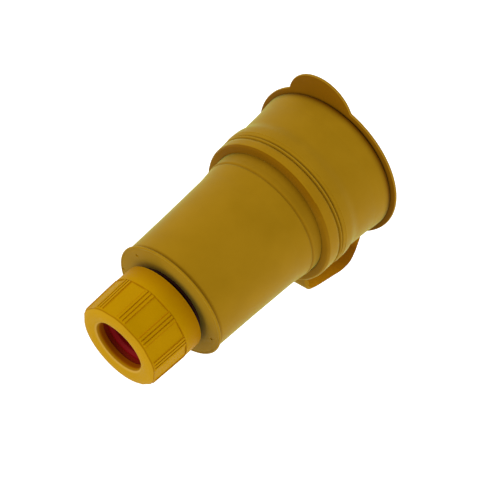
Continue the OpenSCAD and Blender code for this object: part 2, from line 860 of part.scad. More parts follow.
// A block that cuts a flat into the nut's tapered side between two heights
module nut_flat(z, end_z) {
    depth = nut_r * (1 - cos(flat_arc / 2));
    rotate([90, 0, 0])
        linear_extrude(nut_r, center = true)
            polygon([
                [nut_r - depth, z],
                [nut_end_r - (nut_r - nut_end_r) - depth, 2 * end_z - z],
                [nut_r + past, 2 * end_z - z],
                [nut_r + past, z]]);
}

// A thin tapered rib on the nut's side
module nut_rib(z, end_z) {
    rotate([0, 0, -rib_arc / 2])
        rotate_extrude(angle = rib_arc)
            polygon([
                [nut_end_r - 2 * rib_h, z],
                [nut_r - rib_h / 2, z],
                [nut_r + rib_h / 2, z + rib_ramp],
                [nut_end_r + rib_h, end_z - rib_ramp],
                [nut_end_r - rib_h / 2, end_z],
                [nut_end_r - 2 * rib_h, end_z]]);
}

module compression_nut() {
    grip_z = nut_z + nut_collar_h;
    grip_end_z = nut_end_z - nut_edge;
    group_step = 360 / flat_count;
    color(nut_yellow)
        difference() {
            union() {
                difference() {
                    rotate_extrude() {
                        polygon([
                            [0, nut_z],
                            [nut_r - nut_chamfer, nut_z],
                            [nut_r, nut_z + nut_chamfer],
                            [nut_r, grip_z - grip_step],
                            [nut_end_r, grip_end_z],
                            [nut_end_r - nut_edge, nut_end_z],
                            [0, nut_end_z]]);
                        translate([nut_end_r - nut_edge, grip_end_z])
                            circle(r = nut_edge, $fn = 64);
                    }
                    for (i = [0:flat_count - 1])
                        rotate([0, 0, rib_turn + (i + 0.5) * group_step])
                            nut_flat(grip_z, grip_end_z);
                }
                for (i = [0:flat_count - 1])
                    for (j = [0:rib_count - 1])
                        rotate([0, 0, rib_turn + i * group_step + (j - (rib_count - 1) / 2) * rib_step])
                            nut_rib(grip_z + grip_step / 2, grip_end_z - rib_setback);
            }
            translate([0, 0, nut_z - past])
                cylinder(r = nut_r - nut_mouth_wall, h = nut_mouth_h + past);
            translate([0, 0, thread_z - eps])
                cylinder(r = tail_r + thread_play, h = lip_z - thread_z + eps);
            translate([0, 0, lip_z - past])
                cylinder(r = nut_bore_r, h = nut_lip + 2 * past);
        }
}

boot();
lid();
lid_collar();
socket_face();
face_gasket();
contact_carrier();
hot_contact();
neutral_contact();
ground_contact();
hot_clamp_plate();
neutral_clamp_plate();
ground_clamp_plate();
terminal_screws();
assembly_screws();
core_housing();
tail_seal();
grommet();
slip_ring();
compression_nut();
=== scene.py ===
# %% [markdown]
# # A watertight locking connector with a flip lid
#
# The connector stands on its closed lid, with the cord nut pointing up. The frame holds every
# rigid piece at its true size, so this lesson adds what a drawing lacks: soft rubber forms,
# moulded edges, a thread, and finishes that read well from near and far.

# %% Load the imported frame
import math

import bpy
from mathutils import Matrix, Vector


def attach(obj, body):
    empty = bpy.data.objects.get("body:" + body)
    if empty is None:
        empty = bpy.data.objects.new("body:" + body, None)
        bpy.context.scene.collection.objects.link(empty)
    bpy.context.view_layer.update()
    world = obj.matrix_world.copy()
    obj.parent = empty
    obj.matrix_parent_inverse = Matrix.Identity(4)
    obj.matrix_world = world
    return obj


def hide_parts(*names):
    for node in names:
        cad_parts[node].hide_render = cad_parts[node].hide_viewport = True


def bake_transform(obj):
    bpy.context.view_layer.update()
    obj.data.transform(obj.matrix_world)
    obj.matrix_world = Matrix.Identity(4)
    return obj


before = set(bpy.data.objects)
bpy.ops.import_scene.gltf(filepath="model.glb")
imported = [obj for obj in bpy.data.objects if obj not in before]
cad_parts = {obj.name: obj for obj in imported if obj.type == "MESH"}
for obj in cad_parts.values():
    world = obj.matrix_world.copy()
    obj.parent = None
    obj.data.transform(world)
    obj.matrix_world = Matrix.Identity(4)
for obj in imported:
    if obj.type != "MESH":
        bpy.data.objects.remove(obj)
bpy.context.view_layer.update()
MM = 0.001

# %% [markdown]
# ## Camera
#
# The camera looks at the nut's end from a little above the barrel, rolled so that the connector
# lies across the picture from the lower left to the upper right. A constraint could aim it, but
# it would lose the roll, so its place and its axes are written as they were found.

# %% Place the camera
BARREL_MIDDLE = Vector((0, 0, 0.05))
camera_place = Vector((218.4, 287.8, 237.8)) * MM
camera_back = Vector((0.5327, 0.7038, 0.4700)).normalized()
camera_right = Vector((0.7437, -0.1243, -0.6568)).normalized()
camera_up = camera_back.cross(camera_right).normalized()
camera_data = bpy.data.cameras.new("photo_camera")
camera_data.lens = 98.59
camera_data.sensor_width = 36
camera_data.clip_start = 0.01
camera = bpy.data.objects.new("photo_camera", camera_data)
bpy.context.scene.collection.objects.link(camera)
camera.matrix_world = Matrix.Translation(camera_place) @ Matrix(
    (camera_right, camera_up, camera_back)).transposed().to_4x4()
bpy.context.scene.camera = camera
bpy.context.scene.view_settings.view_transform = "Standard"
print("distance to the middle of the barrel:", round((camera_place - BARREL_MIDDLE).length, 3))

# %% [markdown]
# ## Light and floor
#
# Soft light from all sides suits matte rubber: it shows the form by gentle slopes of tone. Many
# lamps could give it, but the world does it at once. A large key lamp on the camera's left gives
# the lit side, and a second lamp, low on the right, keeps the far side from going dull. The floor
# and the world look white to the camera and in reflections, while their real light stays plain.

# %% Set up the world
WORLD_LIGHT = 0.62
WHITE = (1, 1, 1, 1)
WARM_WHITE = (1.0, 0.99, 0.97, 1)


def seen_directly(nodes, wires):
    """A socket that is 1 for the camera, reflections and glass, and 0 for the light itself."""
    path = nodes.new("ShaderNodeLightPath")
    value = path.outputs["Is Camera Ray"]
    for kind in ("Is Glossy Ray", "Is Transmission Ray"):
        either = nodes.new("ShaderNodeMath")
        either.operation = "MAXIMUM"
        wires.new(value, either.inputs[0])
        wires.new(path.outputs[kind], either.inputs[1])
        value = either.outputs[0]
    return value


world = bpy.data.worlds.new("white_studio")
bpy.context.scene.world = world
world.use_nodes = True
world_nodes, world_wires = world.node_tree.nodes, world.node_tree.links
world_nodes.clear()
world_out = world_nodes.new("ShaderNodeOutputWorld")
seen = world_nodes.new("ShaderNodeBackground")
seen.inputs["Color"].default_value = WHITE
given = world_nodes.new("ShaderNodeBackground")
given.inputs["Color"].default_value = WARM_WHITE
given.inputs["Strength"].default_value = WORLD_LIGHT
world_mix = world_nodes.new("ShaderNodeMixShader")
world_wires.new(seen_directly(world_nodes, world_wires), world_mix.inputs[0])
world_wires.new(given.outputs[0], world_mix.inputs[1])
world_wires.new(seen.outputs[0], world_mix.inputs[2])
world_wires.new(world_mix.outputs[0], world_out.inputs["Surface"])
print("world light:", WORLD_LIGHT)

# %% Hang the lamps


def soft_lamp(name, place, size, power):
    """A square area lamp that faces the connector."""
    data = bpy.data.lights.new(name, "AREA")
    data.size = size
    data.energy = power
    lamp = bpy.data.objects.new(name, data)
    bpy.context.scene.collection.objects.link(lamp)
    lamp.location = place
    aim = BARREL_MIDDLE - lamp.location
    lamp.rotation_euler = aim.to_track_quat("-Z", "Y").to_euler()


soft_lamp("key_lamp", place=(-0.16, 0.36, 0.50), size=0.5, power=1.8)
soft_lamp("side_lamp", place=(0.40, -0.34, 0.20), size=0.4, power=1.2)

# %% Lay the floor
FLOOR_Z = -0.07
FLOOR_SIDE = 6
FLOOR_TONE = 0.9
FLOOR_GLOW = 0.7
bpy.ops.object.select_all(action="DESELECT")
bpy.ops.mesh.primitive_plane_add(size=FLOOR_SIDE, location=(0, 0, FLOOR_Z))
floor = bpy.context.object
floor.name = "studio_floor"
floor_finish = bpy.data.materials.new("studio_floor")
floor_finish.use_nodes = True
floor_nodes, floor_wires = floor_finish.node_tree.nodes, floor_finish.node_tree.links
floor_body = floor_nodes["Principled BSDF"]
floor_body.inputs["Base Color"].default_value = (FLOOR_TONE, FLOOR_TONE, FLOOR_TONE, 1)
floor_body.inputs["Roughness"].default_value = 0.9
floor_body.inputs["Specular IOR Level"].default_value = 0.0
floor_white = floor_nodes.new("ShaderNodeEmission")
floor_sum = floor_nodes.new("ShaderNodeAddShader")
glow = floor_nodes.new("ShaderNodeMath")
glow.operation = "MULTIPLY"
glow.inputs[1].default_value = FLOOR_GLOW
floor_wires.new(seen_directly(floor_nodes, floor_wires), glow.inputs[0])
floor_wires.new(glow.outputs[0], floor_white.inputs["Strength"])
floor_wires.new(floor_body.outputs[0], floor_sum.inputs[0])
floor_wires.new(floor_white.outputs[0], floor_sum.inputs[1])
floor_wires.new(floor_sum.outputs[0], floor_nodes["Material Output"].inputs["Surface"])
floor.data.materials.append(floor_finish)
print("floor at", FLOOR_Z, "m, just below the reach of the open lid")

# %% [markdown]
# ## Finishes
#
# Moulded rubber and nylon are never quite even. Pictures could show that, but nodes fit a piece
# of any shape. Every finish starts from one helper: it mixes two close tones by a soft noise,
# lets the same noise vary the roughness a little, and adds a fine grain as a bump. A thin tinted
# sheen lifts the grazing edges of the rubber. The patterns read Object coordinates, so they stay
# on the piece when it moves.

# %% Write the helper for moulded finishes
PATCH_SIZE = 9 * MM
GRAIN_SIZE = 0.25 * MM
GRAIN_DEPTH = 0.05 * MM
ROUGH_SPREAD = 0.06
SHEEN_ROUGH = 0.3
SHEEN_TINT = (0.75, 1.0, 0.25, 1)


def linear(red, green, blue):
    """A colour as it looks on screen, 0 to 255, as Blender stores it."""
    parts = [v / 255 for v in (red, green, blue)]
    return tuple(v / 12.92 if v <= 0.04045 else ((v + 0.055) / 1.055) ** 2.4 for v in parts) + (1,)


def moulded(name, dark, light, rough, specular=0.5, tint=WHITE, sheen=0.0, grain=0.1, metal=0.0):
    """A material with soft patches between two screen colours, and a fine grain."""
    finish = bpy.data.materials.new(name)
    finish.use_nodes = True
    nodes, wires = finish.node_tree.nodes, finish.node_tree.links
    body = nodes["Principled BSDF"]
    body.inputs["Metallic"].default_value = metal
    body.inputs["Specular IOR Level"].default_value = specular
    body.inputs["Specular Tint"].default_value = tint
    body.inputs["Sheen Weight"].default_value = sheen
    body.inputs["Sheen Roughness"].default_value = SHEEN_ROUGH
    body.inputs["Sheen Tint"].default_value = SHEEN_TINT
    where = nodes.new("ShaderNodeTexCoord")
    patches = nodes.new("ShaderNodeTexNoise")
    patches.inputs["Scale"].default_value = 1 / PATCH_SIZE
    patches.inputs["Detail"].default_value = 4
    tones = nodes.new("ShaderNodeValToRGB")
    tones.color_ramp.elements[0].position = 0.3
    tones.color_ramp.elements[0].color = linear(*dark)
    tones.color_ramp.elements[1].position = 0.7
    tones.color_ramp.elements[1].color = linear(*light)
    roughness = nodes.new("ShaderNodeMapRange")
    roughness.inputs["To Min"].default_value = rough - ROUGH_SPREAD
    roughness.inputs["To Max"].default_value = rough + ROUGH_SPREAD
    fine = nodes.new("ShaderNodeTexNoise")
    fine.inputs["Scale"].default_value = 1 / GRAIN_SIZE
    fine.inputs["Detail"].default_value = 3
    bump = nodes.new("ShaderNodeBump")
    bump.inputs["Strength"].default_value = grain
    bump.inputs["Distance"].default_value = GRAIN_DEPTH
    wires.new(where.outputs["Object"], patches.inputs["Vector"])
    wires.new(where.outputs["Object"], fine.inputs["Vector"])
    wires.new(patches.outputs["Fac"], tones.inputs["Fac"])
    wires.new(patches.outputs["Fac"], roughness.inputs["Value"])
    wires.new(tones.outputs["Color"], body.inputs["Base Color"])
    wires.new(roughness.outputs["Result"], body.inputs["Roughness"])
    wires.new(fine.outputs["Fac"], bump.inputs["Height"])
    wires.new(bump.outputs["Normal"], body.inputs["Normal"])
    return finish


print("mid grey as stored:", round(linear(128, 128, 128)[0], 3))

# %% Mix the rubbers, the nylons and the metals
GOLD = (1.0, 0.62, 0.05, 1)
RUBBER = {"rough": 0.55, "specular": 0.05, "tint": GOLD, "sheen": 0.6}
NUT = {"rough": 0.5, "specular": 0.02, "tint": GOLD, "grain": 0.06}
boot_rubber = moulded("boot_rubber", (157, 117, 15), (164, 123, 19), **RUBBER)
# The rear face's copy of the boot rubber takes a painted shadow round the nut's tail.
boot_back_shadowed = moulded("boot_back_shadowed", (157, 117, 15), (164, 123, 19), **RUBBER)
lid_rubber = moulded("lid_rubber", (156, 115, 24), (163, 121, 28), **RUBBER)
# The lid's back face gets a darker copy of the lid rubber: painted shade, where it lies behind the boot.
lid_back_shaded = moulded("lid_back_shaded", (126, 81, 1), (133, 86, 2), **RUBBER)
collar_rubber = moulded("collar_rubber", (158, 116, 13), (165, 122, 17), **RUBBER)
# The collar's rear step is a copy of the collar rubber that takes a painted shade.
collar_step_shaded = moulded("collar_step_shaded", (158, 116, 13), (165, 122, 17), **RUBBER)
# The strap's inner face is a far paler copy of the rubber: painted light for the light it misses beside the
# barrel, with painted shade towards the lid.
strap_inside_lit_and_shaded = moulded("strap_inside_lit_and_shaded", (234, 174, 12), (240, 180, 14), 0.6, specular=0.1, tint=GOLD)
nut_nylon = moulded("nut_nylon", (183, 135, 1), (189, 140, 2), sheen=0.06, **NUT)
# Painted shade for the narrow grooves beside the ribs.
rib_shade = moulded("rib_shade", (180, 123, 1), (186, 128, 2), **NUT)
nylon_black = moulded("nylon_black", (40, 20, 15), (50, 26, 20), 0.6, specular=0.15)
nylon_grey = moulded("nylon_grey", (150, 151, 152), (163, 164, 165), 0.5)
seal_rubber = moulded("seal_rubber", (44, 14, 9), (54, 18, 12), 0.7, specular=0.1)
grommet_rubber = moulded("grommet_rubber", (118, 4, 8), (130, 6, 11), 0.6, specular=0.08)
brass = moulded("brass", (196, 158, 84), (214, 176, 100), 0.28, metal=1.0)
plated_steel = moulded("plated_steel", (176, 180, 184), (200, 203, 206), 0.3, metal=1.0)
nylon_maroon = moulded("nylon_maroon", (118, 24, 5), (128, 28, 8), 0.6, specular=0.1)
print("finishes:", len(bpy.data.materials))

# %% [markdown]
# ## Painted shade and highlights
#
# The shade that falls in the grooves, creases and gaps is painted into the colour as a darker,
# warmer tone, and a few highlights as a paler one. It could be painted on face by face, but then
# it would end in hard lines. A ramp over the height, across the piece or out from the axis mixes
# the tone in softly and at the right places. Each stop of a ramp is a place in mm and the share of
# the tone there.

# %% Write the helper that paints shade and highlights


def paint_light_and_shade(finish, tone, stops, low, high, along="Z"):
    """Mixes a screen colour in as painted shade or highlight by (place, share) stops along Y, along Z or from
    the axis (R).
    """
    nodes, wires = finish.node_tree.nodes, finish.node_tree.links
    body = nodes["Principled BSDF"]
    base = body.inputs["Base Color"].links[0].from_socket
    where = nodes.new("ShaderNodeTexCoord")
    if along == "R":
        flat = nodes.new("ShaderNodeVectorMath")
        flat.operation = "MULTIPLY"
        flat.inputs[1].default_value = (1, 1, 0)
        length = nodes.new("ShaderNodeVectorMath")
        length.operation = "LENGTH"
        wires.new(where.outputs["Object"], flat.inputs[0])
        wires.new(flat.outputs["Vector"], length.inputs[0])
        place = length.outputs["Value"]
    else:
        split = nodes.new("ShaderNodeSeparateXYZ")
        wires.new(where.outputs["Object"], split.inputs[0])
        place = split.outputs[along]
    span = nodes.new("ShaderNodeMapRange")
    span.inputs["From Min"].default_value = low * MM
    span.inputs["From Max"].default_value = high * MM
    ramp = nodes.new("ShaderNodeValToRGB")
    marks = ramp.color_ramp.elements
    marks[0].position, marks[1].position = 0, 1
    marks[0].color = marks[1].color = (0, 0, 0, 1)
    for at, share in stops:
        marks.new((at - low) / (high - low)).color = (share, share, share, 1)
    mix = nodes.new("ShaderNodeMix")
    mix.data_type = "RGBA"
    wires.new(place, span.inputs["Value"])
    wires.new(span.outputs["Result"], ramp.inputs["Fac"])
    wires.new(ramp.outputs["Color"], mix.inputs["Factor"])
    wires.new(base, mix.inputs["A"])
    mix.inputs["B"].default_value = linear(*tone)
    wires.new(mix.outputs["Result"], body.inputs["Base Color"])
    print(finish.name, "shaded at", len(stops), "places along", along)


# %% Paint shade and a highlight on the boot
# Painted shade: a darker tone in the lid's gap, beside the band and the ridge, on the neck behind the collar,
# in the crease and before the rim.
at_mouth = [(3.0, 1.0), (3.5, 0.85), (4.0, 0.4), (4.8, 0.1), (5.5, 0.0)]
behind_band = [(24.3, 0.0), (24.5, 0.2), (24.75, 0.0)]
beside_ridge = [(25.4, 0.0), (25.75, 0.55), (26.0, 0.0), (26.6, 0.0), (26.85, 0.55), (27.2, 0.5)]
on_neck = [(30.6, 0.6), (31.2, 0.4), (32.0, 0.25), (33.5, 0.15), (35.7, 0.1)]
in_crease = [(36.3, 0.45), (36.9, 0.0)]
before_rim = [(75.3, 0.0), (76.0, 0.3), (76.35, 0.8), (76.65, 0.3), (76.9, 0.0)]
boot_shade_stops = at_mouth + behind_band + beside_ridge + on_neck + in_crease + before_rim
# A painted highlight along the ridge's crest.
crest_highlight = [(26.1, 0.0), (26.3, 0.25), (26.5, 0.0)]
# Painted shadow on the rear face round the nut's tail.
shadow_round_tail = [(12.0, 0.8), (14.2, 0.45), (15.2, 0.12), (16.2, 0.0)]
paint_light_and_shade(boot_rubber, (104, 58, 0), boot_shade_stops, 2.5, 80)
paint_light_and_shade(boot_rubber, (200, 160, 62), crest_highlight, 20, 30)
paint_light_and_shade(boot_back_shadowed, (84, 34, 4), shadow_round_tail, 0, 60, along="R")

# %% Paint shade on the collar, the lid and the strap
# Painted shade on the collar's rear step, darker towards the tab's side.
shade_across_step = [(-20.0, 0.2), (-8.0, 0.3), (0.0, 0.4), (8.6, 0.5), (17.0, 0.75), (26.0, 0.75)]
# Painted shade on the lid's back next to the boot's edge.
gap_shade_on_lid = [(25.0, 0.0), (26.0, 0.75), (26.5, 0.25), (27.0, 0.0)]
# Painted shade on the strap's inside, darker towards the lid.
shade_near_hinge = [(5.0, 1.0), (14.0, 0.5), (27.0, 0.0)]
paint_light_and_shade(collar_step_shaded, (116, 70, 0), shade_across_step, -30, 30, along="Y")
paint_light_and_shade(lid_back_shaded, (80, 36, 0), gap_shade_on_lid, 0, 60, along="R")
paint_light_and_shade(strap_inside_lit_and_shaded, (178, 118, 18), shade_near_hinge, 2, 35)

# %% Paint shade and highlights on the nut
# Painted shade at the collar's foot by the boot, at the rear end of the flats and along the edge of the face.
shade_at_collar_foot = [(80.0, 0.4), (83.0, 0.2)]
shade_at_grip_step = [(85.85, 0.0), (86.1, 0.5), (86.4, 0.0)]
shade_at_face_edge = [(98.6, 0.0), (98.85, 0.55), (99.0, 0.5), (99.1, 0.0)]
# Painted highlights on the face ring and on the fillet round the bore.
face_highlight = [(99.0, 0.0), (99.15, 0.2), (99.9, 0.2)]
fillet_highlight = [(8.9, 0.0), (9.2, 0.5), (9.7, 0.0)]
# Painted shade on the bore's wall.
bore_shade = [(8.55, 1.0), (8.65, 0.85), (8.85, 0.2), (9.0, 0.0)]
paint_light_and_shade(nut_nylon, (140, 78, 0), shade_at_collar_foot + shade_at_grip_step + shade_at_face_edge, 80, 100)
paint_light_and_shade(nut_nylon, (222, 176, 55), face_highlight, 90, 101)
paint_light_and_shade(nut_nylon, (228, 186, 92), fillet_highlight, 8, 16, along="R")
paint_light_and_shade(nut_nylon, (140, 62, 0), bore_shade, 8, 16, along="R")

# %% [markdown]
# ## Turning a piece
#
# The boot, the collar, the seals and the nut are all moulded round one axis. Each could start from
# a cylinder, but a drawn half section that is spun once keeps every groove at its true height. The
# section is a loop of corners, each with its own bend radius, as a moulder's drawing gives it.

# %% Write the helper that rounds a section
STRAIGHT = 1.55
LONGEST_BEND = 0.48


def rounded(corners, steps=4):
    """Points of a closed section whose corners are (radius, height, bend), all in mm."""
    points = []
    for i, (r, z, bend) in enumerate(corners):
        here = Vector((r, z))
        back = Vector(corners[i - 1][:2]) - here
        ahead = Vector(corners[(i + 1) % len(corners)][:2]) - here
        half = back.angle(ahead) / 2
        if bend == 0 or half > STRAIGHT:
            points.append(here)
            continue
        reach = min(bend / math.tan(half), back.length * LONGEST_BEND, ahead.length * LONGEST_BEND)
        bend = reach * math.tan(half)
        middle = here + (back.normalized() + ahead.normalized()).normalized() * bend / math.sin(half)
        first = here + back.normalized() * reach - middle
        sweep = first.angle_signed(here + ahead.normalized() * reach - middle)
        for step in range(steps + 1):
            spoke = first.copy()
            spoke.rotate(Matrix.Rotation(-sweep * step / steps, 2))
            points.append(middle + spoke)
    return points


print("a rounded square has", len(rounded([(0, 0, 1), (4, 0, 1), (4, 4, 1), (0, 4, 1)])), "points")

# %% Write the helpers that draw a line and close a piece
JOIN = 0.002 * MM


def start_piece(name, x, y, z):
    """A new object with one vertex at a place in mm, left in edit mode."""
    if bpy.context.object and bpy.context.object.mode == "EDIT":
        bpy.ops.object.mode_set(mode="OBJECT")
    bpy.ops.object.select_all(action="DESELECT")
    bpy.ops.mesh.primitive_plane_add(size=MM, location=(x * MM, y * MM, z * MM))
    piece = bpy.context.object
    piece.name = name
    bpy.ops.object.transform_apply(location=True, rotation=True, scale=True)
    bpy.ops.object.mode_set(mode="EDIT")
    bpy.ops.mesh.select_mode(type="VERT")
    bpy.ops.mesh.merge(type="CENTER")
    return piece


def draw(points, closed=True):
    """Extrudes the selected vertex through points of (x, y, z) in mm."""
    track = points + points[:1] if closed else points
    for here, there in zip(track, track[1:]):
        step = (Vector(there) - Vector(here)) * MM
        bpy.ops.mesh.extrude_region_move(TRANSFORM_OT_translate={"value": step})
    bpy.ops.mesh.select_all(action="SELECT")
    bpy.ops.mesh.remove_doubles(threshold=JOIN)


def close_piece(piece, smooth=40):
    """Merges doubles, turns the faces outwards and smooths the shading of soft corners."""
    bpy.ops.object.mode_set(mode="EDIT")
    bpy.ops.mesh.select_all(action="SELECT")
    bpy.ops.mesh.remove_doubles(threshold=JOIN)
    bpy.ops.mesh.normals_make_consistent(inside=False)
    bpy.ops.object.mode_set(mode="OBJECT")
    bpy.ops.object.select_all(action="DESELECT")
    piece.select_set(True)
    bpy.context.view_layer.objects.active = piece
    bpy.ops.object.shade_smooth_by_angle(angle=math.radians(smooth))
    print(piece.name, "faces:", len(piece.data.polygons))
    return piece


print("points closer than", JOIN / MM, "mm are merged")

# %% Write the helpers that turn, join, cut and select


def turned(name, corners, sides=180, closed=True):
    """A ring, or a disc if open, turned on the axis from a section of (radius, height, bend) in mm."""
    points = [(r, 0, z) for r, z in rounded(corners)]
    piece = start_piece(name, *points[0])
    draw(points, closed)
    bpy.ops.mesh.spin(steps=sides, angle=math.tau, center=(0, 0, 0), axis=(0, 0, 1))
    return close_piece(piece)


def shape_with(piece, kind, **settings):
    """Adds a modifier to a piece and applies it."""
    bpy.ops.object.select_all(action="DESELECT")
    piece.select_set(True)
    bpy.context.view_layer.objects.active = piece
    modifier = piece.modifiers.new(kind.lower(), kind)
    for key, value in settings.items():
        setattr(modifier, key, value)
    bpy.ops.object.modifier_apply(modifier=modifier.name)


def cut_out(piece, other):
    """Boolean difference of two pieces; the second is deleted."""
    shape_with(piece, "BOOLEAN", operation="DIFFERENCE", solver="EXACT", object=other)
    bpy.data.objects.remove(other)


def merge_into(piece, other):
    """Boolean union of two pieces; the second is deleted."""
    shape_with(piece, "BOOLEAN", operation="UNION", solver="EXACT", object=other)
    bpy.data.objects.remove(other)
    close_piece(piece)


def selecting(piece, mode, chosen):
    """Goes to edit mode with the chosen vertices or faces selected."""
    bpy.ops.object.mode_set(mode="EDIT")
    bpy.ops.mesh.select_mode(type=mode)
    bpy.ops.mesh.select_all(action="DESELECT")
    bpy.ops.object.mode_set(mode="OBJECT")
    parts = piece.data.vertices if mode == "VERT" else piece.data.polygons
    parts.foreach_set("select", chosen)
    bpy.ops.object.mode_set(mode="EDIT")


print("modelling helpers: turned, shape_with, cut_out, merge_into, selecting")

# %% Write the helpers that finish a piece


def finish_with(piece, finish):
    """Gives a piece one finish all over."""
    piece.data.materials.clear()
    piece.data.materials.append(finish)


def paint(piece, finish, chosen):
    """Gives the chosen faces of a piece another finish."""
    piece.data.materials.append(finish)
    added = len(piece.data.materials) - 1
    kinds = [added if yes else p.material_index for yes, p in zip(chosen, piece.data.polygons)]
    piece.data.polygons.foreach_set("material_index", kinds)
    print(finish.name, "on", sum(chosen), "faces")


def stand_for(piece, node, body, finish):
    """Lets a modelled piece take the place of a CAD node."""
    finish_with(piece, finish)
    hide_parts(node)
    if body:
        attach(piece, body)


print("finishing helpers: finish_with, paint, stand_for")

# %% [markdown]
# ## The rubber boot
#
# The boot is one thick moulding. Its barrel widens towards the lid, a raised band and a thin ridge
# between two grooves run round it, and behind the neck a long cone ends in a rolled rim. The inner
# wall follows the rigid housing, which the rubber is moulded on. Rings could be stacked up, but
# one turned section leaves no seam between them. Small spheres press the marks of the mould's
# pins into the rear face.

# %% Turn the boot
front_edge = [(23.2, 3.0, 0.3), (26.5, 3.0, 0.12), (26.3, 5.4, 2.0)]
barrel = [(25.75, 9.4, 4.0), (25.4, 15.0, 4.0), (25.1, 18.3, 8)]
band = [(25.85, 21.4, 8), (25.9, 24.3, 0.2), (25.72, 24.5, 0.1), (25.75, 24.7, 0.2), (25.5, 25.4, 0.2)]
front_groove = [(24.85, 25.72, 0.08), (25.3, 25.95, 0.1)]
ridge = [(25.8, 26.3, 0.3), (25.3, 26.6, 0.15)]
rear_groove = [(24.75, 26.82, 0.08), (24.95, 27.0, 0.05), (24.95, 27.15, 0)]
collar_seat = [(22.4, 27.15, 0), (22.4, 28.75, 0), (21.6, 28.75, 0), (21.6, 30.25, 0), (22.4, 30.25, 0)]
neck = [(22.4, 32.5, 0.2), (22.3, 34.0, 1.5), (22.35, 35.7, 0.5)]
crease = [(21.85, 36.3, 0.15), (22.1, 36.8, 0.5)]
cone = [(21.7, 39.6, 3.0), (21.4, 42.0, 4.0), (20.45, 59.5, 30), (19.75, 75.5, 0.4)]
rim_groove = [(19.4, 76.3, 0.12), (19.75, 76.5, 0.1)]
rim = [(20.35, 76.75, 0.3), (20.35, 77.2, 0.3), (19.8, 77.3, 0.15), (19.5, 77.2, 0.2)]
rear_wall = [(18.9, 77.25, 0.3), (12.05, 77.3, 0.2), (12.05, 73.2, 0)]
inner_wall = [(17.0, 73.2, 0), (19.0, 41.1, 0), (20.0, 35.6, 0), (20.0, 22.4, 0)]
housing_seat = [(23.6, 22.4, 0), (23.6, 19.4, 0), (22.9, 19.4, 0)]
mouth_land = [(22.9, 8.4, 0), (23.2, 8.1, 0)]
boot_outside = (front_edge + barrel + band + front_groove + ridge + rear_groove + collar_seat + neck
                + crease + cone + rim_groove + rim)
boot = turned("rubber_boot", boot_outside + rear_wall + inner_wall + housing_seat + mouth_land, sides=240)

# %% Press the pin marks into the rear face
PIN_MARKS = [(17.15, 127, 77.35, 0.55), (17.2, -22, 77.35, 0.55), (19.2, 172, 77.4, 0.6)]
PIN_SIDES = 24
REAR_FACE = 77 * MM
FACING_UP = 0.9
for reach, angle, height, radius in PIN_MARKS:
    turn = math.radians(angle)
    place = (reach * math.cos(turn) * MM, reach * math.sin(turn) * MM, height * MM)
    bpy.ops.object.select_all(action="DESELECT")
    bpy.ops.mesh.primitive_uv_sphere_add(
        segments=PIN_SIDES, ring_count=PIN_SIDES // 2, radius=radius * MM, location=place)
    cut_out(boot, bpy.context.object)
close_piece(boot)
stand_for(boot, "boot", "root", boot_rubber)
# The rear face takes the copy with the painted shadow round the tail.
paint(boot, boot_back_shadowed, [p.normal.z > FACING_UP and p.center.z > REAR_FACE for p in boot.data.polygons])

# %% [markdown]
# ## The strap and its collar
#
# The lid hangs on a strap that is one moulding with the collar round the boot's neck. The strap is
# a flat band. A long box could be bent, but a drawn line that is pulled to its width and then
# thickened along its normals keeps the wall even round each bend. The collar is turned, and its
# rear edge is tilted to stand higher on the strap's side. A flat crescent widens the heel where
# the strap meets the collar, and unions make all of it one piece, as in the mould.

# %% Draw the strap's line and pull it to its width
STRAP_HALF = 12.2
WIDTH_STEPS = 12
front_end = [(26.0, 2.25, 0), (28.3, 2.4, 2), (32.0, 5.1, 10)]
knee_and_heel = [(35.15, 8.4, 5), (35.15, 13.3, 10), (31.6, 25.6, 12), (29.8, 29.8, 4.2), (22.9, 29.8, 0)]
strap_line = [(-STRAP_HALF, -r, z) for r, z in rounded(front_end + knee_and_heel, 8)]
strap = start_piece("strap_band", *strap_line[0])
draw(strap_line, closed=False)
for step in range(WIDTH_STEPS):
    bpy.ops.mesh.extrude_region_move(
        TRANSFORM_OT_translate={"value": (2 * STRAP_HALF * MM / WIDTH_STEPS, 0, 0)})
bpy.ops.mesh.select_all(action="SELECT")
bpy.ops.mesh.remove_doubles(threshold=JOIN)
bpy.ops.mesh.normals_make_consistent(inside=False)
print("points along the strap:", len(strap_line))

# %% Give the strap its wall
STRAP_WALL = 0.9
STRAP_EDGE = 0.8
KNEE_FACE = Vector((0, -35.1, 12)) * MM
STRAP_MIDDLE = (0, -0.03, 0.015)
bpy.ops.object.mode_set(mode="OBJECT")
knee = min(strap.data.polygons, key=lambda p: (p.center - KNEE_FACE).length)
outwards = -1 if knee.normal.y > 0 else 1
bpy.ops.object.mode_set(mode="EDIT")
bpy.ops.mesh.extrude_region_shrink_fatten(TRANSFORM_OT_shrink_fatten={"value": outwards * STRAP_WALL * MM})
bpy.ops.transform.resize(value=(1 - STRAP_EDGE / STRAP_HALF, 1, 1), center_override=STRAP_MIDDLE)
close_piece(strap)

# %% Turn the collar and tilt its rear edge
COLLAR_TILT = 3.6
TILT_FROM = 30.8 * MM
TILT_MIDDLE = (0, 0, 0.0324)
collar_outside = [
    (22.55, 27.2, 0.1), (25.35, 27.2, 0.3), (25.5, 28.2, 1.0), (25.45, 31.5, 1.0), (24.9, 32.35, 0.6)]
collar_inside = [
    (22.55, 32.4, 0.1), (22.55, 30.2, 0), (21.65, 30.2, 0), (21.65, 28.8, 0), (22.55, 28.8, 0)]
collar = turned("collar_and_strap", collar_outside + collar_inside, sides=240)
selecting(collar, "VERT", [v.co.z > TILT_FROM for v in collar.data.vertices])
bpy.ops.transform.rotate(value=math.radians(COLLAR_TILT), orient_axis="X", center_override=TILT_MIDDLE)
close_piece(collar)

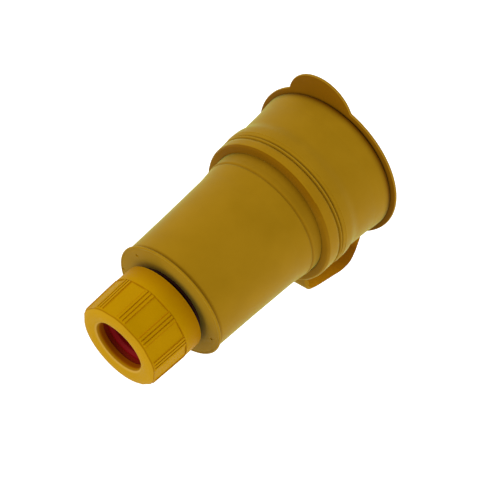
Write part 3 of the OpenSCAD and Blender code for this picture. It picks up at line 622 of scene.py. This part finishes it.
# %% Widen the heel and join the strap to the collar
HEEL_R, HEEL_SIDES = 0.019, 160
HEEL_Z = 29.8
HEEL_SHIFT = -0.010
heel_place = (0, HEEL_SHIFT, (HEEL_Z + STRAP_WALL / 2) * MM)
bpy.ops.mesh.primitive_cylinder_add(
    vertices=HEEL_SIDES, radius=HEEL_R, depth=STRAP_WALL * MM, location=heel_place)
heel = bpy.context.object
collar_room = [(0, 29, 0), (22.45, 29, 0), (22.45, 31.5, 0), (0, 31.5, 0)]
cut_out(heel, turned("heel_hole", collar_room, closed=False))
merge_into(collar, heel)
merge_into(collar, strap)

# %% Finish the collar and the strap
STRAP_SIDE = -27 * MM
STEP_LOW = 29 * MM
STEP_END = -20.5 * MM
INWARDS, EDGEWAYS, REARWARDS = 0.3, 0.3, 0.45
stand_for(collar, "lid_collar", None, collar_rubber)
# The strap's inside takes the paler copy, painted light with painted shade.
paint(collar, strap_inside_lit_and_shaded, [
    p.normal.y > INWARDS and abs(p.normal.x) < EDGEWAYS and p.center.y < STRAP_SIDE
    for p in collar.data.polygons])
# The collar's rear step takes the copy with painted shade.
paint(collar, collar_step_shaded, [
    p.normal.z > REARWARDS and p.center.z > STEP_LOW and p.center.y > STEP_END
    for p in collar.data.polygons])
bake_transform(collar)

# %% [markdown]
# ## The sealing lid
#
# The lid is a disc with a round pull tab, and behind it a thin skirt with one bead seals the mouth.
# Two joined cylinders would leave a sharp corner where the tab leaves the disc, so the outline is
# drawn as one loop with a small hollow there, and raised to its thickness. The slight dome of the
# front and the skirt are turned and joined to it.

# %% Work out the lid's outline
LID_R, TAB_R, TAB_MIDDLE, TAB_HOLLOW = 28.3, 12.8, 22.0, 0.8
DISC_STEPS, TAB_STEPS, HOLLOW_STEPS = 150, 60, 10
far = LID_R + TAB_HOLLOW
hollow_y = (far ** 2 - (TAB_R + TAB_HOLLOW) ** 2 + TAB_MIDDLE ** 2) / (2 * TAB_MIDDLE)
hollow_x = math.sqrt(far ** 2 - hollow_y ** 2)


def arc(x, y, radius, first, last, steps):
    """Points of an arc between two angles in degrees."""
    return [(x + radius * math.cos(math.radians(first + (last - first) * i / steps)),
             y + radius * math.sin(math.radians(first + (last - first) * i / steps)), 0)
            for i in range(steps + 1)]


disc_end = math.degrees(math.atan2(hollow_y, hollow_x))
tab_end = math.degrees(math.atan2(hollow_y - TAB_MIDDLE, hollow_x))
lid_loop = (arc(0, 0, LID_R, 180 - disc_end, 360 + disc_end, DISC_STEPS)
            + arc(hollow_x, hollow_y, TAB_HOLLOW, 180 + disc_end, 180 + tab_end, HOLLOW_STEPS)[1:-1]
            + arc(0, TAB_MIDDLE, TAB_R, tab_end, 180 - tab_end, TAB_STEPS)
            + arc(-hollow_x, hollow_y, TAB_HOLLOW, -tab_end, -disc_end, HOLLOW_STEPS)[1:-1])
print("lid outline points:", len(lid_loop))

# %% Raise the disc and join the dome and the skirt
RIM_LOW, LID_BACK, RIM_BEVEL = 1.5, 2.5, 0.4
SHARP = math.radians(50)
lid = start_piece("sealing_lid", *lid_loop[0])
draw(lid_loop)
bpy.ops.mesh.edge_face_add()
bpy.ops.transform.translate(value=(0, 0, RIM_LOW * MM))
bpy.ops.mesh.extrude_region_move(TRANSFORM_OT_translate={"value": (0, 0, (LID_BACK - RIM_LOW) * MM)})
close_piece(lid)
shape_with(lid, "BEVEL", width=RIM_BEVEL * MM, segments=3, limit_method="ANGLE", angle_limit=SHARP)
dome = [(0, 0, 0), (20.0, 0, 3.0), (24.0, 0.35, 6.0), (27.6, 1.65, 0), (27.6, 1.9, 0), (0, 1.9, 0)]
merge_into(lid, turned("lid_front", dome, sides=150, closed=False))
skirt_inside = [(20.7, 2.3, 0), (20.7, 7.4, 0.3), (21.0, 7.7, 0.3)]
skirt_bead = [(22.5, 6.6, 0.4), (22.5, 5.0, 0.5), (22.85, 4.2, 0.5), (22.5, 3.4, 0.5), (22.5, 2.3, 0)]
merge_into(lid, turned("lid_skirt", skirt_inside + [(22.2, 7.7, 0.4)] + skirt_bead))

# %% Finish the lid
BACKWARDS, BACK_PLAY = 0.7, 0.1 * MM
stand_for(lid, "lid", "lid", lid_rubber)
# The back face takes the darker copy, painted shade.
paint(lid, lid_back_shaded, [
    p.normal.z > BACKWARDS and abs(p.center.z - LID_BACK * MM) < BACK_PLAY for p in lid.data.polygons])

# %% [markdown]
# ## The cord nut
#
# The nut has a plain collar, ten flats, and three fine ribs between each two flats. They could be
# cut and joined with booleans, but the mesh stays cleaner if the nut is spun in steps of half a
# degree, so that whole strips of faces can be picked. The flats are pressed level one by one,
# each with a slight lean towards the face, and the ribs are then pulled out of the strips between
# them. The narrow faces beside the ribs get a darker finish: painted shade for the grooves.

# %% Turn the nut
nut_collar = [(13.0, 79.65, 0.2), (15.1, 79.65, 0.35), (15.1, 85.95, 0.1)]
nut_grip = [(14.98, 86.05, 0), (14.98, 86.5, 0), (14.85, 90.0, 0), (14.69, 94.0, 0), (14.5, 98.4, 0)]
nut_face = [(14.35, 98.95, 0), (13.2, 99.8, 1.0), (12.2, 100.0, 1.0), (11.2, 100.0, 1.5)]
nut_lip = [(9.7, 99.55, 1.5), (8.9, 98.9, 1.0), (8.6, 97.9, 0.6), (8.6, 96.6, 0)]
nut_bore = [(12.06, 96.6, 0), (12.06, 84.05, 0.2), (13.0, 84.05, 0)]
nut = turned("cord_nut", nut_collar + nut_grip + nut_face + nut_lip + nut_bore, sides=720)

# %% Press the flats
FLATS, GROUP, RIB_TURN, FLAT_HALF = 10, 36, 38, 10.5
GRIP_LOW, GRIP_HIGH, GRIP_LEAN = 86.05, 98.4, 2.13
GRIP_R, FLAT_R, FLAT_SINK = 14.2, 15.0, 0.12
FLAT_BELOW, FLAT_ABOVE, FLAT_PLAY = 0.02, 0.6, 0.1


def azimuth(place):
    """Angle of a place round the axis in degrees, from 0 to 360."""
    return math.degrees(math.atan2(place.y, place.x)) % 360


def in_grip(place, low, high):
    """Whether a place lies on the nut's outside between two heights in mm."""
    return low < place.z / MM < high and place.xy.length > GRIP_R * MM


flat_low, flat_high = GRIP_LOW - FLAT_BELOW, GRIP_HIGH + FLAT_ABOVE
grip = [(azimuth(v.co), in_grip(v.co, flat_low, flat_high)) for v in nut.data.vertices]
lean = math.radians(GRIP_LEAN)
flat_reach = (FLAT_R * math.cos(math.radians(FLAT_HALF)) - FLAT_SINK) * MM
for flat in range(FLATS):
    middle = RIB_TURN + GROUP / 2 + flat * GROUP
    out = Vector((math.cos(math.radians(middle)), math.sin(math.radians(middle)), 0))
    side = Vector((-out.y, out.x, 0))
    press = out * math.cos(lean) + Vector((0, 0, math.sin(lean)))
    selecting(nut, "VERT", [
        gripped and abs((angle - middle + 180) % 360 - 180) < FLAT_HALF + FLAT_PLAY
        for angle, gripped in grip])
    level = out * flat_reach + Vector((0, 0, GRIP_LOW * MM))
    bpy.ops.transform.resize(value=(0, 1, 1), orient_type="GLOBAL", orient_matrix_type="GLOBAL",
                             orient_matrix=(press, side, press.cross(side)), center_override=level)
print("flats:", FLATS)

# %% Pull the ribs
RIB_PLACES, RIB_HALF, RIB_RISE = (-4.5, 0, 4.5), 1.5, 0.22
RIB_START, GROUP_HALF = 0.1, 7.5
RIB_SHORTEN = 0.985
RIB_FOOT = (0, 0, 0.0865)


def off_group(angle):
    """Angle from the middle of the nearest group of ribs."""
    return (angle - RIB_TURN + GROUP / 2) % GROUP - GROUP / 2


def on_rib(angle):
    """Whether an angle falls on one of the three ribs of a group."""
    return min(abs(off_group(angle) - rib) for rib in RIB_PLACES) < RIB_HALF


bpy.ops.object.mode_set(mode="OBJECT")
rib_low = GRIP_LOW + RIB_START
ribbed = [(azimuth(p.center), in_grip(p.center, rib_low, GRIP_HIGH)) for p in nut.data.polygons]
between = [gripped and abs(off_group(angle)) < GROUP_HALF and not on_rib(angle) for angle, gripped in ribbed]
stand_for(nut, "compression_nut", "nut", nut_nylon)
paint(nut, rib_shade, between)
selecting(nut, "FACE", [gripped and on_rib(angle) for angle, gripped in ribbed])
bpy.ops.mesh.extrude_region_shrink_fatten(TRANSFORM_OT_shrink_fatten={"value": RIB_RISE * MM})
bpy.ops.transform.resize(value=(1, 1, RIB_SHORTEN), center_override=RIB_FOOT)
close_piece(nut, smooth=30)

# %% [markdown]
# ## The tail's thread
#
# Between the nut and the boot a little of the housing's threaded tail shows, and more of it when
# the nut is screwed out. A bump could fake it, but its teeth are seen from the side. So the Screw
# modifier winds one drawn tooth up the tail, two millimetres a turn. The thread rides on the
# boot's body, since only the nut turns.

# %% Wind the thread
PITCH, THREAD_TURNS, TURN_STEPS = 2.0, 3, 72
tooth = [(11.35, 0, 78.5), (11.95, 0, 78.95), (11.95, 0, 79.2), (11.35, 0, 79.65)]
thread = start_piece("tail_thread", *tooth[0])
draw(tooth)
bpy.ops.object.mode_set(mode="OBJECT")
shape_with(thread, "SCREW", axis="Z", angle=math.tau, screw_offset=PITCH * MM, iterations=THREAD_TURNS,
           steps=TURN_STEPS, render_steps=TURN_STEPS, use_normal_calculate=True)
bpy.ops.object.mode_set(mode="EDIT")
bpy.ops.mesh.select_mode(type="EDGE")
bpy.ops.mesh.select_all(action="DESELECT")
bpy.ops.mesh.select_non_manifold()
bpy.ops.mesh.fill_holes(sides=0)
close_piece(thread)
finish_with(thread, nylon_black)
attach(thread, "root")

# %% [markdown]
# ## The gland's rubber and the seals
#
# A soft grommet grips the cord, a flat ring seals the tail against the boot, and another lies
# between the contact face and the housing. A torus would be too round for any of them, so all
# three are turned from drawn corners.

# %% Turn the grommet
grommet_outside = [(7.0, 84.5, 0.3), (10.3, 84.5, 0.3), (10.3, 87.0, 0), (10.3, 90.0, 0), (10.3, 92.5, 0)]
grommet_mouth = [(10.3, 94.4, 0.4), (9.7, 95.0, 0.3), (8.0, 95.0, 0.6), (7.1, 94.1, 0.8)]
grommet_bore = [(7.0, 92.0, 0), (7.0, 89.0, 0), (7.0, 86.5, 0)]
grommet = turned("cord_grommet", grommet_outside + grommet_mouth + grommet_bore, sides=120)
stand_for(grommet, "grommet", None, grommet_rubber)
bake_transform(grommet)

# %% Turn the two seals
tail_seal = turned("tail_sealing_ring", [
    (12.0, 77.3, 0.1), (12.6, 77.3, 0.2), (12.7, 77.7, 0.2), (12.6, 78.1, 0.2), (12.0, 78.1, 0.1)], sides=120)
stand_for(tail_seal, "tail_seal", "root", seal_rubber)
face_gasket = turned("face_sealing_ring", [
    (18.75, 18.4, 0.2), (22.55, 18.4, 0.2), (22.55, 19.4, 0.2), (18.75, 19.4, 0.2)], sides=120)
stand_for(face_gasket, "face_gasket", "root", seal_rubber)

# %% [markdown]
# ## Pieces from the frame
#
# The contacts, their screws, the carrier and the housing are rigid. They could be modelled again,
# but the frame already has their true shape, so they only take a finish.

# %% Give the rigid nodes their finish
rigid_finish = {
    "socket_face": nylon_black, "contact_carrier": nylon_grey, "core_housing": nylon_black,
    "slip_ring": nylon_maroon, "hot_contact": brass, "neutral_contact": brass,
    "ground_contact": brass, "hot_clamp_plate": plated_steel,
    "neutral_clamp_plate": plated_steel, "ground_clamp_plate": plated_steel,
    "terminal_screws": plated_steel, "assembly_screws": plated_steel}
for node, finish in rigid_finish.items():
    finish_with(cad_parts[node], finish)
print("finished nodes:", len(rigid_finish))
